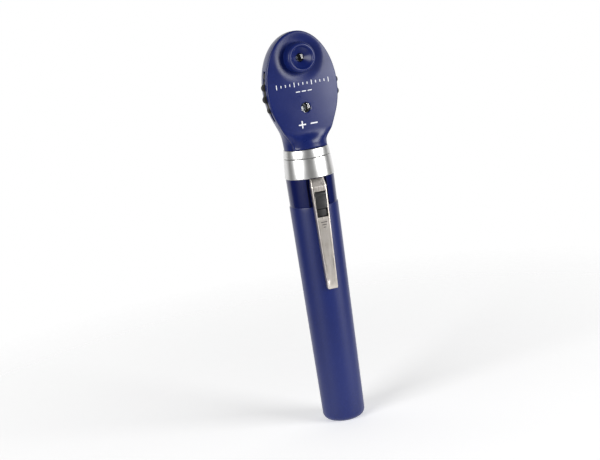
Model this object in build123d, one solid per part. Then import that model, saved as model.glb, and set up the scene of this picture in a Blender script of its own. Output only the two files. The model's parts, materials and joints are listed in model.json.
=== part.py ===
from build123d import *
import os
from math import cos, pi, sin, sqrt

# Pocket ophthalmoscope, standing on the flat foot of its battery handle.
# Millimetres.  The origin is the centre of the foot, +Z runs up the handle to the head,
# and -Y is the examiner's side, where the eyepiece ring is.

# ---- driving dimensions --------------------------------------------------------------
HANDLE_TOP = 107.0            # height of the plastic handle, up to the collar
HANDLE_R_LOW = 9.1            # handle radius at the foot
HANDLE_R_HIGH = 10.5          # handle radius at the collar
FOOT_ROUND = 3.0              # rounding at the foot's edge
CELL_R = 7.25                 # radius of an AA cell
CELL_LENGTH = 50.5            # length of an AA cell with its nub
BORE_R = 7.5                  # bore that holds the two cells
FLOOR = 1.8                   # thickness of the handle's closed bottom
CLIP_TURN = -5.0              # the clip stands this many degrees round from the head's front

COLLAR_SPLIT = 115.4          # the head unscrews from the handle at this height
HEAD_BASE = 119.0             # the plastic head starts here
NECK_R = 9.1
NECK_TOP = 122.3
HEAD_CENTRE = 144.5           # centre of the oval head
HEAD_HALF_WIDTH = 15.5
HEAD_HALF_HEIGHT = 23.0
FRONT_FACE = -7.0             # y of the front plate
SEAM = -5.05                  # y where the two head shells meet
BACK_FACE = 8.0               # y of the back of the head
WALL = 1.3                    # wall of the head shells
FRONT_WALL = 1.2              # wall of the front plate

SIGHT_Z = 156.6               # height of the line of sight
SIGHT_R = 1.77                # radius of the sight hole
WHEEL_Z = 143.5               # height of the lens wheel's axis
WHEEL_R = 16.85               # over the lobes of the rim
WHEEL_FRONT = -4.9
WHEEL_BACK = -2.7
WHEEL_DISC_R = 14.95
STATIONS = 20                 # one open station and nineteen lenses
PLUS_LENSES = 10
LENS_CIRCLE_R = SIGHT_Z - WHEEL_Z
LENS_R = 1.6
WINDOW_Z = 136.1              # height of the window that shows the lens power
WINDOW_R = 2.1
NUMBER_CIRCLE_R = WHEEL_Z - WINDOW_Z

BEAM_Y = 2.0                  # the lamp's beam rises on this line
APERTURE_Z = 137.0            # middle of the aperture wheel
APERTURE_AXIS_Y = 5.2
APERTURE_WHEEL_R = 4.8
APERTURE_HOLES = (1.2, 0.8, 0.5, 1.0, 1.1)   # radii of the five stops

CLIP_TOP = 103.6              # the clip's arm hangs from here
CLIP_TIP = 60.0
CLIP_FACE = -12.4             # y of the clip's outer face
CLIP_SHEET = 0.6              # thickness of the clip's sheet
CLIP_DEPTH = 1.95             # depth of the clip's channel section
SWITCH_TRAVEL = 3.5           # the slider moves down this far to switch the lamp on

CLEAR = 0.05                  # running clearance between turning or sliding pieces


# ---- helpers ---------------------------------------------------------------------------
def rod(radius, low, high, x=0.0, y=0.0):
    """A solid cylinder that stands along Z between two heights."""
    return Pos(x, y, (low + high) / 2) * Cylinder(radius, high - low)


def rod_y(radius, front, back, x=0.0, z=0.0):
    """A solid cylinder that lies along Y between two depths."""
    return Pos(x, (front + back) / 2, z) * Rot(90, 0, 0) * Cylinder(radius, back - front)


def block(x, y, z):
    """A box given by its low and high limits along each axis."""
    centre = Pos((x[0] + x[1]) / 2, (y[0] + y[1]) / 2, (z[0] + z[1]) / 2)
    return centre * Box(x[1] - x[0], y[1] - y[0], z[1] - z[0])


def turned_z(points, y=0.0):
    """A body of revolution about a vertical axis, from (radius, height) points."""
    outline = Plane.XZ * make_face(Polyline(*points, close=True))
    return Pos(0, y, 0) * revolve(outline, Axis.Z)


def turned_y(points, z=0.0):
    """A body of revolution about an axis along Y, from (radius, y) points."""
    outline = Plane.XY * make_face(Polyline(*points, close=True))
    return Pos(0, 0, z) * revolve(outline, Axis.Y)


def save(name, shape):
    """Write one sub-part, turned into a single shape."""
    solids = shape.solids()
    whole = solids[0] if len(solids) == 1 else Compound(children=list(solids))
    whole.label = name
    export_step(whole, f"parts/{name}.step")


def handle_radius(z):
    return HANDLE_R_LOW + (HANDLE_R_HIGH - HANDLE_R_LOW) * z / HANDLE_TOP


# ---- the battery handle ----------------------------------------------------------------
BAND_LOW = 95.0               # lower edge of the shallow band under the collar
BAND_DEPTH = 0.3
SLEEVE_R = 8.6                # outside of the threaded sleeve
SLEEVE_BORE_R = 7.95
SLEEVE_LOW = 104.6
POCKET_HALF = 4.4             # half width of the clip's pocket
POCKET_FLOOR = -8.9
STRIP_Y = (-8.0, -7.6)        # the contact strip's inner and outer faces
SLOT_HALF = 1.3               # half width of the slot for the switch's contact
SLOT_Z = (86.2, 104.7)
TAB_POCKET = ((-3.1, 3.1), (-10.8, -9.2), (103.4, HANDLE_TOP))


def round_clip_side(shape):
    """Turn something on the clip's side to where the clip really stands."""
    return Rot(0, 0, CLIP_TURN) * shape


def handle_tube():
    foot_r = handle_radius(0)
    sweep_point = FOOT_ROUND * (1 - sqrt(0.5))
    band_r = handle_radius(BAND_LOW)
    with BuildPart() as tube:
        with BuildSketch(Plane.XZ):
            with BuildLine():
                Line((0, 0), (foot_r - FOOT_ROUND, 0))
                ThreePointArc((foot_r - FOOT_ROUND, 0),
                              (foot_r - sweep_point, sweep_point),
                              (handle_radius(FOOT_ROUND), FOOT_ROUND))
                Line((handle_radius(FOOT_ROUND), FOOT_ROUND), (band_r, BAND_LOW))
                Line((band_r, BAND_LOW), (band_r - BAND_DEPTH, BAND_LOW + BAND_DEPTH))
                Line((band_r - BAND_DEPTH, BAND_LOW + BAND_DEPTH),
                     (HANDLE_R_HIGH - BAND_DEPTH, HANDLE_TOP))
                Line((HANDLE_R_HIGH - BAND_DEPTH, HANDLE_TOP), (0, HANDLE_TOP))
                Line((0, HANDLE_TOP), (0, 0))
            make_face()
        revolve(axis=Axis.Z)
    shape = tube.part - rod(BORE_R, FLOOR, HANDLE_TOP + 1)
    shape -= rod(SLEEVE_R, SLEEVE_LOW, HANDLE_TOP + 1)
    pocket = block((-POCKET_HALF, POCKET_HALF), (-14, POCKET_FLOOR), (BAND_LOW, HANDLE_TOP + 1))
    channel = block((-POCKET_HALF, POCKET_HALF), (-14, -9.75), (83.0, BAND_LOW))
    slider_bed = block((-2.9, 2.9), (-14, POCKET_FLOOR), (82.4, BAND_LOW))
    slot = block((-SLOT_HALF, SLOT_HALF), (-10, -7.0), SLOT_Z)
    tab = block(*TAB_POCKET)
    groove = block((-1.5, 1.5), (-8.05, -7.0), (FLOOR, SLOT_Z[0]))
    for cut in (pocket, channel, slider_bed, slot, tab, groove):
        shape -= round_clip_side(cut)
    return shape


def collar_ring():
    """The satin ring on the handle, with both outer edges broken."""
    low_r, high_r, edge = 10.47, 9.88, 0.2
    top = COLLAR_SPLIT - 0.1
    return turned_z([(SLEEVE_R, HANDLE_TOP), (low_r - edge, HANDLE_TOP), (low_r, HANDLE_TOP + edge),
                     (high_r, top - edge), (high_r - edge, top), (SLEEVE_R, top)])


def threaded_sleeve():
    sleeve = rod(SLEEVE_R, SLEEVE_LOW, 114.9) - rod(SLEEVE_BORE_R, SLEEVE_LOW - 1, 116)
    tab = block((-1.0, 1.0), (-8.0, -7.7), (98.0, SLEEVE_LOW + 0.5))
    return sleeve + round_clip_side(tab)


def contact_strip():
    """The strip that carries the current from the cells' foot up to the switch."""
    strip = block((-1.3, 1.3), STRIP_Y, (FLOOR + 0.4, 90.0))
    foot = block((-1.3, 1.3), (STRIP_Y[0], -3.2), (FLOOR, FLOOR + 0.4))
    return round_clip_side(strip + foot)


def foot_spring():
    """The conical spring under the lower cell."""
    wire_r, turns, pitch = 0.35, 2, 1.0
    base = FLOOR + 0.4 + wire_r
    path = Helix(pitch, pitch * turns, 5.0, cone_angle=-20)
    start = path @ 0
    section = Plane(origin=start, z_dir=path % 0) * Circle(wire_r)
    return Pos(0, 0, base) * sweep(section, path, is_frenet=True)


def cell(low):
    can = rod(CELL_R, low + 0.25, low + CELL_LENGTH - 1.2) + rod(CELL_R - 1.2, low, low + 0.25)
    return can + rod(2.7, low + CELL_LENGTH - 1.2, low + CELL_LENGTH)


# ---- the clip and the slide switch -------------------------------------------------------
def clip_half_width(z):
    return 1.95 + (z - CLIP_TIP) * 0.034


def clip_face_y(z):
    """The outer face leans in a little towards the tip."""
    return CLIP_FACE + 0.45 * (CLIP_TOP - z) / (CLIP_TOP - CLIP_TIP)


def clip_section(z, grow, open_side):
    """The clip's channel section at one height, grown inwards by the sheet."""
    face = clip_face_y(z) + grow
    half = clip_half_width(z) - grow * 0.9
    depth = CLIP_DEPTH + open_side - grow
    points = [(-half, face), (half, face), (half + 0.5, face + depth), (-half - 0.5, face + depth)]
    return Plane.XY.offset(z) * make_face(Polyline(*points, close=True))


def clip_solid(low, high, grow, open_side=0.0):
    return loft([clip_section(low, grow, open_side), clip_section(high, grow, open_side)])


CLIP_WINDOW_Z = (90.7, 101.6)
CLIP_WINDOW_HALF = 2.6


def clip_arm():
    top = CLIP_TOP - CLEAR
    arm = clip_solid(CLIP_TIP, top, 0.0)
    hollow = clip_solid(CLIP_TIP + CLIP_SHEET, top + 1, CLIP_SHEET, 1.0)
    arm -= hollow
    arm -= block((-CLIP_WINDOW_HALF, CLIP_WINDOW_HALF), (-14, -11.3), CLIP_WINDOW_Z)
    return round_clip_side(arm)


def clip_anchor():
    """The sloping top of the clip, and the tab that the collar holds in the handle."""
    outer_low = clip_section(CLIP_TOP, 0.0, 0.0)
    half = clip_half_width(CLIP_TOP) - 0.6
    high = HANDLE_TOP - 0.15
    corners = [(-half, -10.9), (half, -10.9), (half + 0.3, -10.1), (-half - 0.3, -10.1)]
    outer_high = Plane.XY.offset(high) * make_face(Polyline(*corners, close=True))
    slope = loft([outer_low, outer_high])
    behind = block((-half + 0.3, half - 0.3), (-11.3, -8), (CLIP_TOP - 1, high - 1.6))
    tab = block((-3.0, 3.0), (-10.7, -9.3), (CLIP_TOP, HANDLE_TOP - 0.05))
    return round_clip_side((slope - behind) + tab)


def switch_slider():
    base = block((-2.3, 2.3), (-10.9, POCKET_FLOOR - 0.1), (86.3, 102.6))
    thumb_z = (CLIP_WINDOW_Z[0] + 0.15 + SWITCH_TRAVEL, CLIP_WINDOW_Z[1] - 0.25)
    thumb = block((-2.3, 2.3), (-12.6, -10.9), thumb_z)
    ridge = block((-2.3, 2.3), (-13.0, -12.6), (thumb_z[1] - 1.3, thumb_z[1] - 0.2))
    waist = block((-0.9, 0.9), (POCKET_FLOOR - 0.1, -8.9), (91.0, 102.0))
    return round_clip_side(base + thumb + ridge + waist)


def switch_contact():
    """The bridge behind the slider, which joins the strip to the sleeve's tab."""
    return round_clip_side(block((-1.0, 1.0), (-8.9, -8.05), (90.6, 103.9)))


# ---- the head's base -----------------------------------------------------------------------
SPIGOT_R = SLEEVE_BORE_R - CLEAR * 2
SPIGOT_BORE_R = 6.75
SPIGOT_LOW = 107.6
O_RING_R = 0.35


def head_ring():
    """The satin ring on the head, with a seat for the sealing ring under it."""
    low_r, high_r, edge = 9.87, 9.5, 0.2
    low = COLLAR_SPLIT + 0.1
    ring = turned_z([(SPIGOT_R, low), (low_r - edge, low), (low_r, low + edge),
                     (high_r, HEAD_BASE - edge), (high_r - edge, HEAD_BASE), (SPIGOT_R, HEAD_BASE)])
    return ring - (rod(8.8, low - 1, low + 0.45) - rod(SPIGOT_R, low - 2, low + 1))


def head_spigot():
    return rod(SPIGOT_R, SPIGOT_LOW, HEAD_BASE) + rod(7.65, HEAD_BASE, 121.5) \
        - rod(SPIGOT_BORE_R, SPIGOT_LOW - 1, 122)


def sealing_ring():
    return Pos(0, 0, COLLAR_SPLIT + 0.15) * Torus(SPIGOT_R + O_RING_R + 0.02, O_RING_R)


def contact_insulator():
    insulator = rod(SPIGOT_BORE_R - CLEAR, 108.0, 111.6)
    return insulator - rod(1.7, 107, 112) - rod(2.6, 109.2, 112)


def contact_plunger():
    foot = FLOOR + 0.4 + 3.0
    low = foot + 2 * CELL_LENGTH + 0.02
    return rod(1.65, low, 109.25) + rod(2.5, 109.25, 109.8)


def plunger_spring():
    wire_r = 0.2
    path = Helix(0.75, 1.1, 1.9)
    section = Plane(origin=path @ 0, z_dir=path % 0) * Circle(wire_r)
    return Pos(0, 0, 109.8 + wire_r + 0.03) * sweep(section, path, is_frenet=True)


# ---- the head's shells -----------------------------------------------------------------------
def oval(half_width, half_height):
    """The head's oval outline, drawn on the XZ plane through the origin."""
    return Plane.XZ * Pos(0, HEAD_CENTRE) * Ellipse(half_width, half_height)


def extrude_back(sketch, front, back):
    """Carry an outline on the XZ plane from one depth to another."""
    return Pos(0, front, 0) * extrude(sketch, amount=back - front, dir=(0, 1, 0))


def head_form(inset, back, round_back):
    """The back housing as a solid: oval above, flaring down to the round neck."""
    half_width = HEAD_HALF_WIDTH - inset
    half_height = HEAD_HALF_HEIGHT - inset
    throat = NECK_R - inset
    tangent_z = 132.3
    rise = (tangent_z - HEAD_CENTRE) / half_height
    tangent_x = half_width * sqrt(1 - rise ** 2)
    flare = Plane.XZ * make_face(Polyline((-throat, 118), (throat, 118), (throat, 122.0),
                                          (tangent_x, tangent_z), (-tangent_x, tangent_z),
                                          (-throat, 122.0), close=True))
    body = extrude_back(oval(half_width, half_height) + flare, SEAM, back)
    rim = body.faces().sort_by(Axis.Y)[-1].edges().filter_by(lambda e: e.center().Z > 118.5)
    body = fillet(rim, round_back)
    cone = turned_z([(0, 118), (throat, 118), (throat, 122.0), (throat + 8.4, 140.6),
                     (throat + 14, 150.0), (throat + 14, 172.0), (0, 172.0)])
    return body & cone


POST_X, POST_Z, TOP_POST_Z, POST_R = 5.6, 125.0, 163.4, 1.35
POSTS = ((-POST_X, POST_Z), (POST_X, POST_Z), (0.0, TOP_POST_Z))
EXIT_Z = 154.5
WHEEL_SLOT = rod_y(WHEEL_R + 0.4, SEAM, WHEEL_BACK + 0.25, z=WHEEL_Z)


def front_shell():
    plate = extrude_back(oval(HEAD_HALF_WIDTH, HEAD_HALF_HEIGHT), FRONT_FACE, SEAM)
    plate = fillet(plate.faces().sort_by(Axis.Y)[0].edges(), 0.6)
    inside = extrude_back(oval(HEAD_HALF_WIDTH - WALL, HEAD_HALF_HEIGHT - WALL),
                          FRONT_FACE + FRONT_WALL, SEAM + 1)
    moat = turned_y([(0, FRONT_FACE - 1), (9.4, FRONT_FACE - 1), (9.4, FRONT_FACE),
                     (6.4, FRONT_FACE + 0.5), (0, FRONT_FACE + 0.5)], z=SIGHT_Z)
    shell = plate - inside - moat
    for x, z in POSTS:
        shell += rod_y(POST_R, FRONT_FACE + 0.5, SEAM, x, z)
    for x, z in POSTS:
        shell -= rod_y(0.8, FRONT_FACE + 0.6, SEAM + 1, x, z)
    shell -= rod_y(4.0, FRONT_FACE - 1, SEAM, z=SIGHT_Z)
    shell -= rod_y(WINDOW_R, FRONT_FACE - 1, SEAM, z=WINDOW_Z)
    return shell - rod(NECK_R, HEAD_BASE, NECK_TOP) - rod(7.9, HEAD_BASE, 123.2)


def back_shell():
    shell = head_form(0.0, BACK_FACE, 4.5)
    shell = shell & block((-20, 20), (-20, 20), (HEAD_BASE, 170))
    shell -= head_form(WALL, BACK_FACE - WALL, 3.2) & block((-20, 20), (-20, 20), (123.0, 170))
    shell += rod(NECK_R, HEAD_BASE, NECK_TOP)
    shell -= rod(7.7, HEAD_BASE - 1, 123.5)
    for x, z in POSTS:
        shell += rod_y(POST_R, SEAM, BACK_FACE - 0.6, x, z) & head_form(0.2, BACK_FACE - 0.5, 4.0)
    shell -= WHEEL_SLOT
    for x, z in POSTS:
        shell -= rod_y(1.0, SEAM - 1, BACK_FACE + 1, x, z)
        shell -= rod_y(1.32, BACK_FACE - 1.1, BACK_FACE + 1, x, z)
    shell -= turned_y([(0, BACK_FACE - 4), (4.7, BACK_FACE - 4), (4.7, BACK_FACE - 0.7),
                       (5.9, BACK_FACE + 0.5), (0, BACK_FACE + 0.5)], z=EXIT_Z)
    slot_height = 1.1
    return shell - rod(APERTURE_WHEEL_R + 0.3, APERTURE_Z - slot_height, APERTURE_Z + slot_height,
                       y=APERTURE_AXIS_Y)


def shell_screws():
    screws = []
    for x, z in POSTS:
        screw = rod_y(0.78, FRONT_FACE + 0.7, BACK_FACE - 1.1, x, z)
        screw += rod_y(1.3, BACK_FACE - 1.1, BACK_FACE - 0.3, x, z)
        screw -= block((x - 0.9, x + 0.9), (BACK_FACE - 0.7, BACK_FACE), (z - 0.17, z + 0.17))
        screw -= block((x - 0.17, x + 0.17), (BACK_FACE - 0.7, BACK_FACE), (z - 0.9, z + 0.9))
        screws.append(screw)
    return Compound(children=[s.solid() for s in screws])


# ---- what the examiner looks through -----------------------------------------------------------
RING_CREST = -11.2


def eye_ring():
    """The round brow rest: a rounded rim, and a dish down to the sight hole."""
    points = [(SIGHT_R, -8.5), (4.5, RING_CREST + 0.35), (4.8, RING_CREST + 0.07), (5.2, RING_CREST),
              (5.6, RING_CREST + 0.1), (5.85, RING_CREST + 0.4), (5.95, RING_CREST + 0.9),
              (6.15, FRONT_FACE + 0.5), (3.95, FRONT_FACE + 0.5), (3.95, FRONT_FACE + FRONT_WALL),
              (2.0, FRONT_FACE + FRONT_WALL), (2.0, -8.2), (SIGHT_R, -8.2)]
    return turned_y(points, z=SIGHT_Z)


def sight_glass():
    return rod_y(1.95, -8.15, -7.55, z=SIGHT_Z)


def window_lens():
    """The magnifier over the lens power, with a domed face."""
    body = rod_y(WINDOW_R - 0.03, -7.2, -6.0, z=WINDOW_Z)
    dome_r = 4.0
    sagitta = dome_r - sqrt(dome_r ** 2 - WINDOW_R ** 2)
    dome = Pos(0, -7.2 - sagitta + dome_r, WINDOW_Z) * Sphere(dome_r)
    dome = dome & rod_y(WINDOW_R - 0.03, -9, -7.2, z=WINDOW_Z)
    return body + dome


# ---- the lens wheel ------------------------------------------------------------------------------
def station_place(index, radius):
    """Centre of a station: station 0 stands at the sight hole at rest."""
    angle = 2 * pi * index / STATIONS
    return radius * sin(angle), WHEEL_Z + radius * cos(angle)


def wheel_rim():
    """The rubber rim: as many lobes as stations, each turned part of a pitch past its station."""
    lobe_r, lobe_circle_r, valley_r = 1.65, WHEEL_R - 1.65, WHEEL_R - 1.05
    rim = rod_y(valley_r, WHEEL_FRONT, WHEEL_BACK, z=WHEEL_Z)
    lobe_turn = 0.61
    for index in range(STATIONS):
        x, z = station_place(index + lobe_turn, lobe_circle_r)
        rim += rod_y(lobe_r, WHEEL_FRONT, WHEEL_BACK, x, z)
    return rim - rod_y(WHEEL_DISC_R, WHEEL_FRONT - 1, WHEEL_BACK + 1, z=WHEEL_Z)


NUMBER_RING = (6.1, 8.8)
NUMBER_RING_Y = (WHEEL_FRONT - 0.15, WHEEL_FRONT + 0.15)


def wheel_disc():
    disc = rod_y(WHEEL_DISC_R, WHEEL_FRONT, WHEEL_BACK, z=WHEEL_Z)
    disc -= rod_y(1.5 + CLEAR, WHEEL_FRONT - 1, WHEEL_BACK + 1, z=WHEEL_Z)
    groove = rod_y(NUMBER_RING[1], WHEEL_FRONT - 1, NUMBER_RING_Y[1], z=WHEEL_Z)
    disc -= groove - rod_y(NUMBER_RING[0], WHEEL_FRONT - 2, WHEEL_BACK, z=WHEEL_Z)
    for index in range(STATIONS):
        x, z = station_place(index, LENS_CIRCLE_R)
        disc -= rod_y(LENS_R - 0.15, WHEEL_FRONT - 1, WHEEL_BACK + 1, x, z)
        disc -= rod_y(LENS_R, WHEEL_FRONT + 0.5, WHEEL_BACK + 1, x, z)
    return disc


def number_ring():
    ring = rod_y(NUMBER_RING[1], *NUMBER_RING_Y, z=WHEEL_Z)
    return ring - rod_y(NUMBER_RING[0], NUMBER_RING_Y[0] - 1, NUMBER_RING_Y[1] + 1, z=WHEEL_Z)


def lenses(first, count, curve):
    """A run of the small lenses: thick in the middle if curve is positive, thin if negative."""
    half, front, back = 0.35, WHEEL_FRONT + 0.5, WHEEL_FRONT + 1.6
    made = []
    for index in range(first, first + count):
        x, z = station_place(index, LENS_CIRCLE_R)
        blank = turned_y([(0, front), (LENS_R, front), (LENS_R, back - half),
                          (LENS_R - 0.5, back - half + curve / 2), (0, back - half + curve)])
        made.append((Pos(x, 0, z) * blank).solid())
    return Compound(children=made)


def wheel_axle():
    return rod_y(1.5, FRONT_FACE + FRONT_WALL + 0.1, CHASSIS_Y[1], z=WHEEL_Z)


# ---- the lamp and the beam --------------------------------------------------------------------------
CHASSIS_Y = (-2.2, -1.2)      # front and back of the chassis plate, behind the lens wheel
DETENT = (4.4, 141.6)         # x and z of the ball that clicks the lens wheel
MIRROR_LINE = 150.0           # the mirror's face is where z - y has this value
OBJECTIVE_R = 3.0
OBJECTIVE_SEAT = 145.6        # the objective lens sits at this height in the upper shelf


def lamp_holder():
    tube = rod(4.2, 112.3, 135.2, y=BEAM_Y)
    flange = rod(7.6, 121.6, 122.8)
    bore = rod(3.3, 112, 136, y=BEAM_Y)
    return tube + flange - bore


def lamp_base():
    return rod(3.25, 112.4, 123.0, y=BEAM_Y) + rod(2.6, 111.65, 112.4, y=BEAM_Y)


def lamp_glass():
    bulb_r, shoulder = 2.6, 128.0
    top = Pos(0, BEAM_Y, shoulder) * Sphere(bulb_r)
    return rod(bulb_r, 123.0, shoulder, y=BEAM_Y) + (top & rod(3, shoulder, 131, y=BEAM_Y))


def condenser_lens():
    dome = Pos(0, BEAM_Y, 128.9) * Sphere(6.0)
    return rod(3.25, 133.0, 134.0, y=BEAM_Y) + (dome & rod(3.25, 134.0, 135.5, y=BEAM_Y))


def objective_lens():
    return rod(OBJECTIVE_R, OBJECTIVE_SEAT, OBJECTIVE_SEAT + 1.2, y=BEAM_Y)


def optics_chassis():
    plate = block((-6.0, 6.0), CHASSIS_Y, (139.4, 154.2))
    lower = block((-4.5, 4.5), (CHASSIS_Y[0], 6.5), (139.4, 140.6))
    upper = block((-4.5, 4.5), (CHASSIS_Y[0], 6.0), (OBJECTIVE_SEAT - 0.3, 147.0))
    ears = block((-12.6, 12.6), CHASSIS_Y, (146.0, 149.0))
    shape = plate + lower + upper + ears
    shape -= rod(2.2, 139, 148, y=BEAM_Y)
    shape -= rod(OBJECTIVE_R, OBJECTIVE_SEAT, 148, y=BEAM_Y)
    shape -= rod(0.8, 139, 141, y=APERTURE_AXIS_Y)
    shape -= rod_y(1.5, -3, -1, z=WHEEL_Z)
    return shape - rod_y(0.8, -3, -1, *DETENT)


def detent_ball():
    return Pos(DETENT[0], CHASSIS_Y[0] + 0.3, DETENT[1]) * Sphere(0.74)


def detent_leaf():
    return block((2.6, 5.9), (CHASSIS_Y[1] + 0.06, CHASSIS_Y[1] + 0.26), (141.0, 142.2))


def mirror_block():
    line = MIRROR_LINE
    low, high = 149.0, 154.2
    profile = Plane.YZ * make_face(Polyline((CHASSIS_Y[1], low), (low - line, low),
                                            (high - line, high), (CHASSIS_Y[1], high), close=True))
    return Pos(-3.2, 0, 0) * extrude(profile, amount=6.4)


def mirror():
    """The 45 degree mirror that throws the beam out to the patient."""
    line, shift = MIRROR_LINE, 0.5
    low, high = 149.4, 154.0
    profile = Plane.YZ * make_face(Polyline((low - line, low), (high - line, high),
                                            (high - line + shift, high - shift),
                                            (low - line + shift, low - shift), close=True))
    return Pos(-3.0, 0, 0) * extrude(profile, amount=6.0)


def exit_window():
    return rod_y(4.65, BACK_FACE - 1.25, BACK_FACE - 0.75, z=EXIT_Z)


# ---- the aperture wheel -----------------------------------------------------------------------------
def aperture_wheel():
    ring_r, low, high = APERTURE_AXIS_Y - BEAM_Y, APERTURE_Z - 0.8, APERTURE_Z + 0.8
    wheel = rod(APERTURE_WHEEL_R, low, high)
    notches = 24
    for index in range(notches):
        angle = 2 * pi * index / notches
        wheel -= rod(0.28, low - 1, high + 1, APERTURE_WHEEL_R * sin(angle), APERTURE_WHEEL_R * cos(angle))
    for index, hole_r in enumerate(APERTURE_HOLES):
        angle = 2 * pi * index / len(APERTURE_HOLES)
        wheel -= rod(hole_r, low - 1, high + 1, ring_r * sin(angle), -ring_r * cos(angle))
    wheel -= rod(0.8 + CLEAR, low - 1, high + 1)
    return Pos(0, APERTURE_AXIS_Y, 0) * wheel


def green_filter():
    """The red-free filter, which fills the last stop."""
    index = len(APERTURE_HOLES) - 1
    angle = 2 * pi * index / len(APERTURE_HOLES)
    ring_r = APERTURE_AXIS_Y - BEAM_Y
    x, y = ring_r * sin(angle), APERTURE_AXIS_Y - ring_r * cos(angle)
    return rod(APERTURE_HOLES[index], APERTURE_Z - 0.3, APERTURE_Z + 0.3, x, y)


def aperture_axle():
    return rod(0.8, 135.4, 140.6, y=APERTURE_AXIS_Y)


# ---- every sub-part ------------------------------------------------------------------------------------
FOOT_SPRING_HEIGHT = 3.0
LOWER_CELL = FLOOR + 0.4 + FOOT_SPRING_HEIGHT

NODES = {
    "handle_tube": handle_tube,
    "collar_ring": collar_ring,
    "threaded_sleeve": threaded_sleeve,
    "contact_strip": contact_strip,
    "foot_spring": foot_spring,
    "battery_lower": lambda: cell(LOWER_CELL),
    "battery_upper": lambda: cell(LOWER_CELL + CELL_LENGTH),
    "clip_anchor": clip_anchor,
    "clip_arm": clip_arm,
    "switch_slider": switch_slider,
    "switch_contact": switch_contact,
    "contact_insulator": contact_insulator,
    "contact_plunger": contact_plunger,
    "plunger_spring": plunger_spring,
    "head_ring": head_ring,
    "head_spigot": head_spigot,
    "sealing_ring": sealing_ring,
    "front_shell": front_shell,
    "back_shell": back_shell,
    "shell_screws": shell_screws,
    "eye_ring": eye_ring,
    "sight_glass": sight_glass,
    "window_lens": window_lens,
    "lamp_holder": lamp_holder,
    "lamp_base": lamp_base,
    "lamp_glass": lamp_glass,
    "condenser_lens": condenser_lens,
    "objective_lens": objective_lens,
    "optics_chassis": optics_chassis,
    "mirror_block": mirror_block,
    "mirror": mirror,
    "exit_window": exit_window,
    "detent_ball": detent_ball,
    "detent_leaf": detent_leaf,
    "wheel_axle": wheel_axle,
    "wheel_disc": wheel_disc,
    "wheel_rim": wheel_rim,
    "number_ring": number_ring,
    "plus_lenses": lambda: lenses(1, PLUS_LENSES, 0.3),
    "minus_lenses": lambda: lenses(1 + PLUS_LENSES, STATIONS - 1 - PLUS_LENSES, -0.3),
    "aperture_wheel": aperture_wheel,
    "green_filter": green_filter,
    "aperture_axle": aperture_axle,
}

os.makedirs("parts", exist_ok=True)
for name, make in NODES.items():
    save(name, make())
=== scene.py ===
"""Looks of a pocket ophthalmoscope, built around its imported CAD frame.

Shapes are worked out in millimetres, in the CAD's own frame: +Z up the handle, -Y the
examiner's side.  They become metres when a piece is made.
"""
import json
import math

import bmesh
import bpy
from mathutils import Matrix, Vector
from mathutils.geometry import delaunay_2d_cdt


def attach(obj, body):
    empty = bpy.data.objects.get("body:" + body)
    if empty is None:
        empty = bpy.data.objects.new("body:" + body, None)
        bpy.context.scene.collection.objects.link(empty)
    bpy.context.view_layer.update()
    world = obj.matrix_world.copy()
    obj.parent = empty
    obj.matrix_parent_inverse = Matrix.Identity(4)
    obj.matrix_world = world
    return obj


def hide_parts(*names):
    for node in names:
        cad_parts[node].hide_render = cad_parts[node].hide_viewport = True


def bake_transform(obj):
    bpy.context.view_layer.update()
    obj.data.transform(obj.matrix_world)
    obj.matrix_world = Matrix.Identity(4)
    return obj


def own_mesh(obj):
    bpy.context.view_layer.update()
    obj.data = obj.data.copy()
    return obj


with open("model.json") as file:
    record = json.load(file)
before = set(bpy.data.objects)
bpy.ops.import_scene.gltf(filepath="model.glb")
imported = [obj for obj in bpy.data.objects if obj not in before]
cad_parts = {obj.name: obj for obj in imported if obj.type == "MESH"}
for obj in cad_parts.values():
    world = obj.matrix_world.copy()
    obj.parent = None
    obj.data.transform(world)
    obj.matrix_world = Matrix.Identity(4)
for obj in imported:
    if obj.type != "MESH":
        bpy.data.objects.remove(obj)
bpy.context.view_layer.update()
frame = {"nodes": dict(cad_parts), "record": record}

MM = 0.001
WELD, SLIVER = 0.002, 0.001      # how near two points are one, and how short an edge is none
CORNERS = ((-1, -1), (1, -1), (1, 1), (-1, 1))

# ---- sizes of the object, in millimetres -----------------------------------------------
# the handle: radii at the foot and the top, the stepped band, the bore and the sleeve's seat
HANDLE_TOP, HANDLE_R_LOW, HANDLE_R_HIGH, FOOT_ROUND = 107.0, 9.1, 10.5, 3.0
BAND_LOW, BAND_DEPTH = 95.0, 0.3
BORE_R, SLEEVE_R, SLEEVE_LOW, HANDLE_FLOOR = 7.5, 8.6, 104.6, 1.8
# the flat bed that the clip and the switch lie in, and the channels beside it
POCKET_HALF, BED_HALF, BED_LOW = 4.4, 2.9, 82.4
BED_FLOOR, CHANNEL_FLOOR, BAND_CHANNEL_FLOOR = -8.9, -9.75, -8.35
# the clip, which stands a little round from the front, and the switch in its window
CLIP_TURN = math.radians(-5.0)
CLIP_TOP, CLIP_TIP, CLIP_FACE, CLIP_SHEET, CLIP_DEPTH = 103.6, 60.0, -12.4, 0.5, 1.95
CLIP_TIP_HALF, CLIP_WIDENING, CLIP_LEAN = 2.2, 0.0235, 0.45
CLIP_WINDOW, CLIP_WINDOW_HALF = (90.7, 101.6), 2.42
ANCHOR_TOP, ANCHOR_FACE, ANCHOR_DEPTH = HANDLE_TOP - 0.15, -10.95, 0.95
SWITCH_THUMB = (94.35, 101.35)
# the collar and the neck, which flares into the head
COLLAR_SPLIT, HEAD_BASE, NECK_R = 115.4, 119.0, 9.1
FLARE_LOW, FLARE_SLOPE, FLARE_TOP, DRIFT_LOW, SHELL_LOW = 122.6, 0.4, 132.6, 125.0, HEAD_BASE + 0.05
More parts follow.
